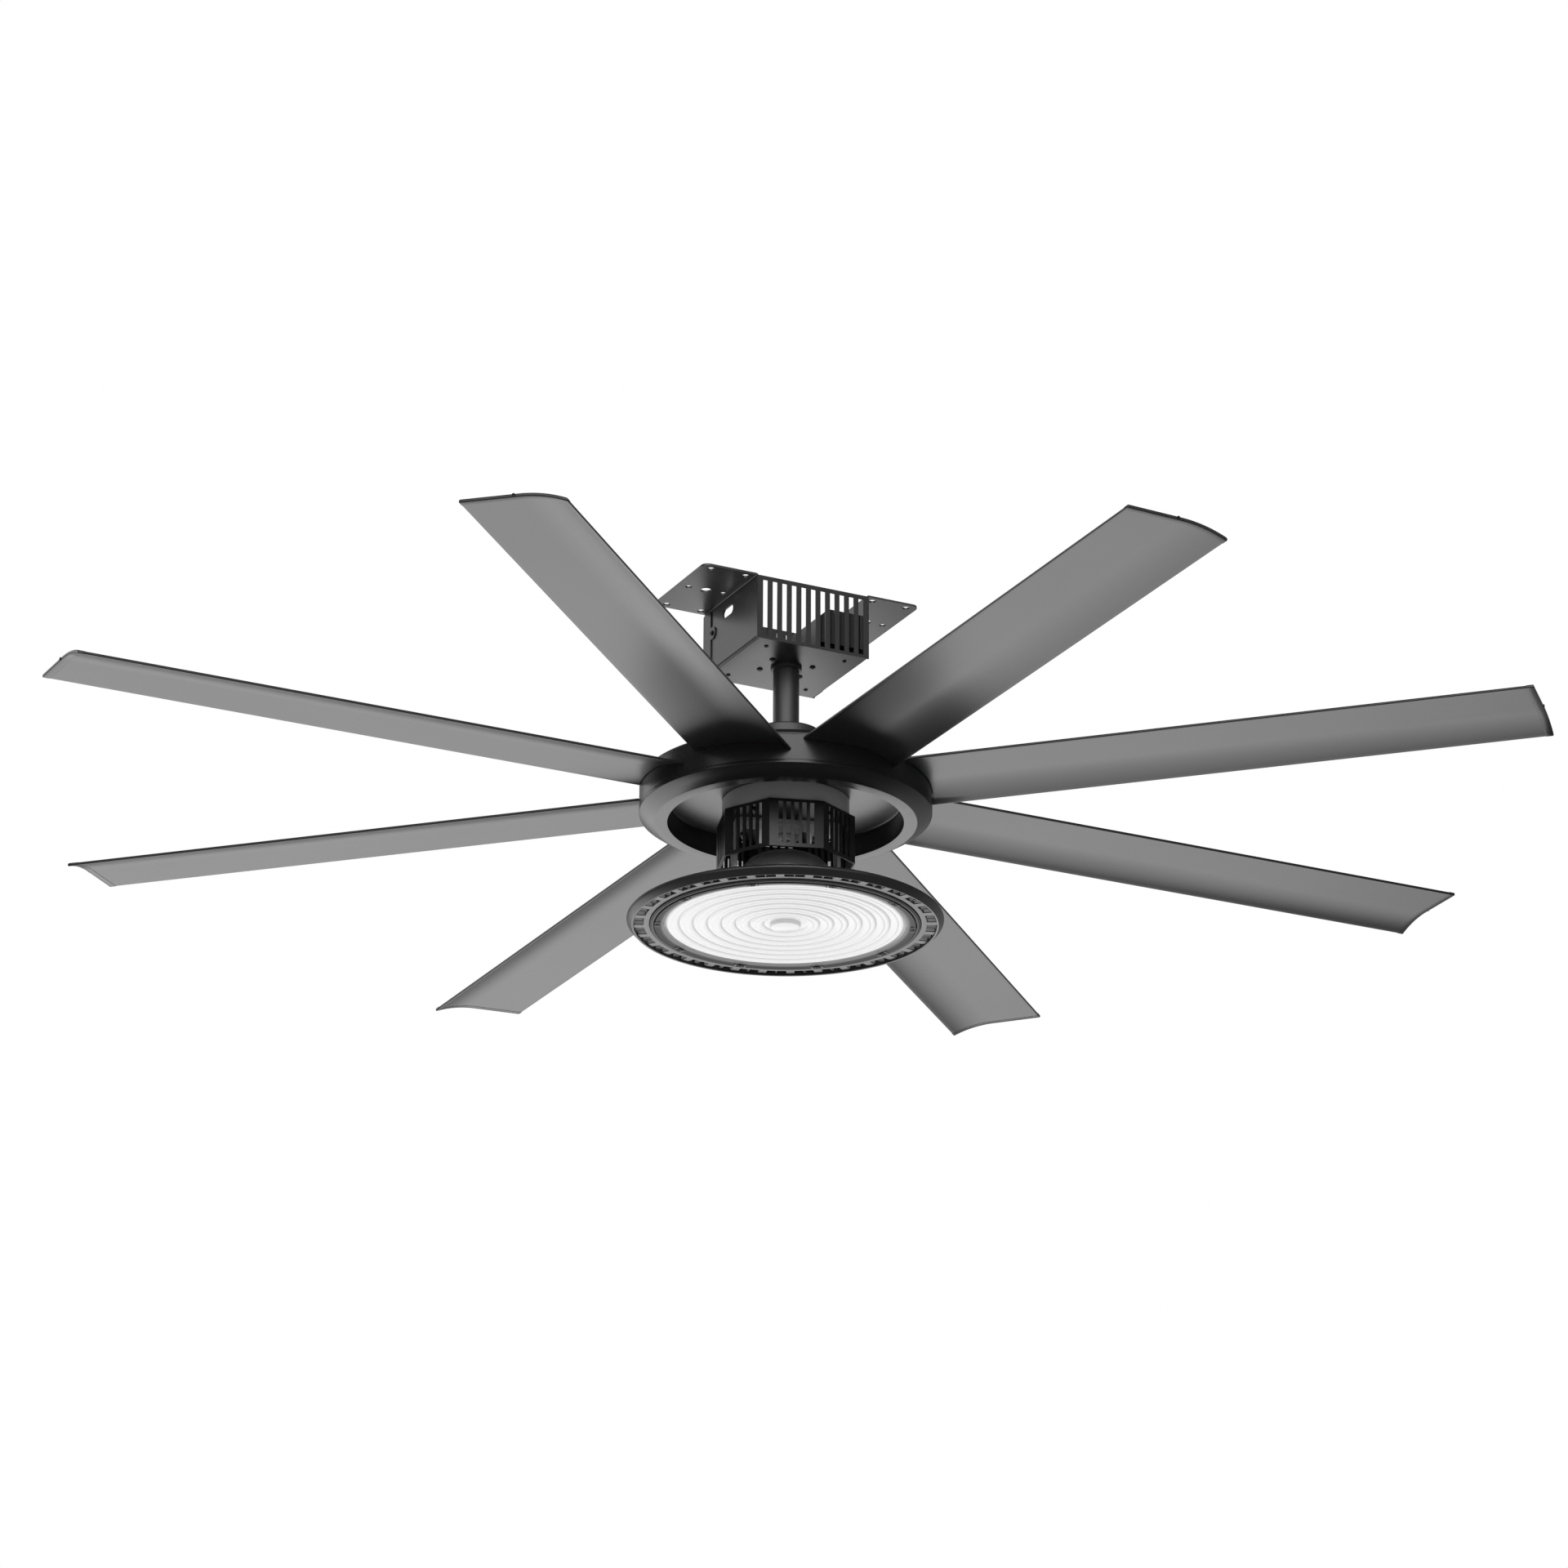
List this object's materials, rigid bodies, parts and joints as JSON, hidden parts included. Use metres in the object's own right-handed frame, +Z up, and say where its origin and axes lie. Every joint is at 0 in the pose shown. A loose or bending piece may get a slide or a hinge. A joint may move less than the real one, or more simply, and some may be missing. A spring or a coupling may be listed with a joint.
{
  "type": "industrial ceiling fan with light",
  "caption": "Ceiling fan with straight hollow blades on a drum hub, hung by a short downrod from a vented bracket, with a round downlight under a slotted cage.",
  "frame": {"origin": "centre of the four outer ceiling bolt holes, on the plane of the ceiling that the bracket is bolted to; the fan hangs below it along -Z", "axes": "+Z up, out of the ceiling bolt pattern and along the downrod and the axis that the blades turn about; X from one ceiling flange of the bracket to the other; -Y towards the slotted front panel"},
  "size_m": [1.8308, 1.8308, 0.4155],
  "materials": {
    "bracket_paint": "semi-gloss dark grey powder coat on bent steel sheet",
    "panel_paint": "semi-gloss near-black powder coat on steel sheet",
    "rod_paint": "satin dark grey paint on steel",
    "hub_paint": "satin dark grey powder coat on aluminium",
    "blade_aluminium": "satin dark grey anodised extruded aluminium",
    "cap_plastic": "satin dark grey moulded plastic",
    "cast_aluminium": "bare cast aluminium",
    "bearing_steel": "ground bearing steel",
    "core_steel": "laminated electrical steel",
    "copper_winding": "enamelled copper wire",
    "magnet": "plated magnet segments",
    "dark_fastener": "black zinc plated steel",
    "circuit_board": "green circuit board with capacitors",
    "cage_paint": "satin black powder coat on steel sheet",
    "lamp_paint": "satin dark grey powder coat on cast aluminium",
    "light_board": "white coated aluminium board with light chips",
    "gasket_rubber": "grey silicone",
    "lens_plastic": "opal white prismatic plastic",
    "retainer_plastic": "black moulded plastic"
  },
  "bodies": {
    "mount_and_lamp": {"ceiling_bracket": "bracket_paint", "slotted_panel_front": "panel_paint", "slotted_panel_rear": "panel_paint", "controller_base": "cast_aluminium", "controller_cover": "panel_paint", "controller_circuit": "circuit_board", "bracket_screws": "dark_fastener", "rod_flange": "bracket_paint", "rod_flange_bolts": "dark_fastener", "downrod": "rod_paint", "rod_collar": "rod_paint", "neck_cover": "rod_paint", "shaft_coupler": "rod_paint", "coupler_bolts": "dark_fastener", "motor_shaft": "bearing_steel", "stator_carrier": "cast_aluminium", "stator_core": "core_steel", "stator_windings": "copper_winding", "upper_bearing_inner": "bearing_steel", "lower_bearing_inner": "bearing_steel", "end_flange": "hub_paint", "vent_cage": "cage_paint", "lamp_yoke": "cage_paint", "lamp_screws": "dark_fastener", "shaft_nut": "dark_fastener", "driver_housing": "lamp_paint", "lamp_heat_sink": "lamp_paint", "led_board": "light_board", "lens_gasket": "gasket_rubber", "lamp_lens": "lens_plastic", "lens_retainer": "retainer_plastic", "retainer_screws": "dark_fastener"},
    "rotor": {"motor_bell": "hub_paint", "back_iron": "core_steel", "rotor_magnets": "magnet", "upper_bearing_outer": "bearing_steel", "lower_bearing_outer": "bearing_steel", "hub_ring": "hub_paint", "hub_top_cover": "hub_paint", "hub_bottom_cover": "hub_paint", "hub_cover_bolts": "dark_fastener", "blade_holders": "cast_aluminium", "blade_1": "blade_aluminium", "blade_2": "blade_aluminium", "blade_3": "blade_aluminium", "blade_4": "blade_aluminium", "blade_5": "blade_aluminium", "blade_6": "blade_aluminium", "blade_7": "blade_aluminium", "blade_8": "blade_aluminium", "blade_cap_1": "cap_plastic", "blade_cap_2": "cap_plastic", "blade_cap_3": "cap_plastic", "blade_cap_4": "cap_plastic", "blade_cap_5": "cap_plastic", "blade_cap_6": "cap_plastic", "blade_cap_7": "cap_plastic", "blade_cap_8": "cap_plastic", "blade_screws": "dark_fastener"}
  },
  "joints": [
    {"name": "fan_spin", "type": "hinge", "parent": "mount_and_lamp", "child": "rotor", "pos_m": [0, 0, -0.2505], "axis": [0, 0, 1], "continuous": true}
  ]
}
